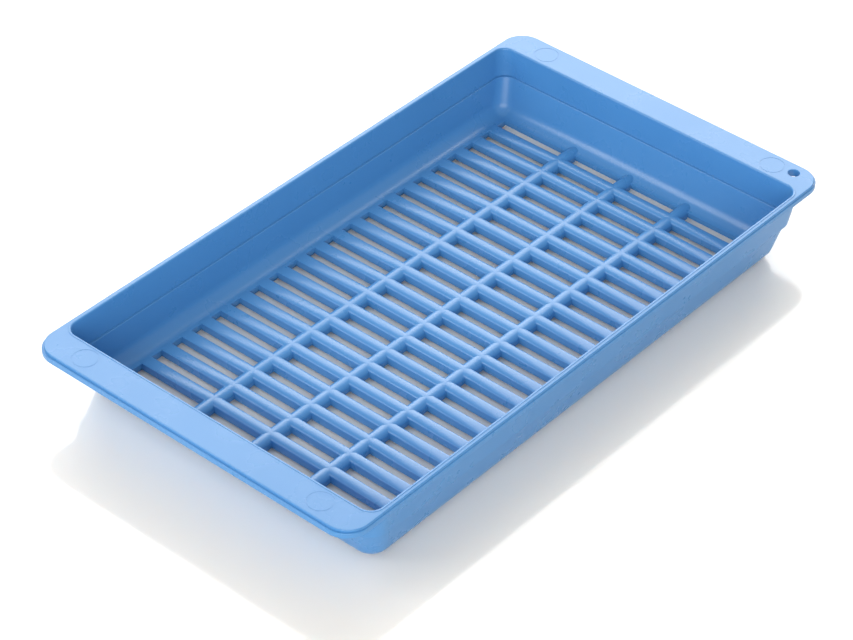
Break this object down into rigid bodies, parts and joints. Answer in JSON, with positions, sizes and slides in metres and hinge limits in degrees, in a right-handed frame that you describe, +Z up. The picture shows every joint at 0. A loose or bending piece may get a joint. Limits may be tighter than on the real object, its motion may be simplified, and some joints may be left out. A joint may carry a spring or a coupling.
{
  "type": "slotted tray",
  "caption": "Shallow moulded plastic tray with stepped walls, a flange at each end, a hanging hole and an open grate floor of crowned slats and ribs.",
  "frame": {"origin": "centre of the footprint on the table, at the standing edge of the underside", "axes": "+X towards the end with the hanging hole, +Y to the long side away from that hole, +Z up"},
  "size_m": [0.3, 0.1646, 0.0324],
  "materials": {
    "tray_plastic": "satin moulded polypropylene, light blue"
  },
  "bodies": {
    "root": {"foot_hole_end": "tray_plastic", "foot_left_side": "tray_plastic", "foot_plain_end": "tray_plastic", "foot_right_side": "tray_plastic", "lower_wall_hole_end": "tray_plastic", "lower_wall_left_side": "tray_plastic", "lower_wall_plain_end": "tray_plastic", "lower_wall_right_side": "tray_plastic", "rib_left": "tray_plastic", "rib_middle": "tray_plastic", "rib_right": "tray_plastic", "rim_hole_end": "tray_plastic", "rim_left_side": "tray_plastic", "rim_plain_end": "tray_plastic", "rim_right_side": "tray_plastic", "slat_01": "tray_plastic", "slat_02": "tray_plastic", "slat_03": "tray_plastic", "slat_04": "tray_plastic", "slat_05": "tray_plastic", "slat_06": "tray_plastic", "slat_07": "tray_plastic", "slat_08": "tray_plastic", "slat_09": "tray_plastic", "slat_10": "tray_plastic", "slat_11": "tray_plastic", "slat_12": "tray_plastic", "slat_13": "tray_plastic", "slat_14": "tray_plastic", "slat_15": "tray_plastic", "slat_16": "tray_plastic", "slat_17": "tray_plastic", "slat_18": "tray_plastic", "slat_19": "tray_plastic", "slat_20": "tray_plastic", "slat_21": "tray_plastic", "upper_wall_hole_end": "tray_plastic", "upper_wall_left_side": "tray_plastic", "upper_wall_plain_end": "tray_plastic", "upper_wall_right_side": "tray_plastic"}
  },
  "joints": []
}
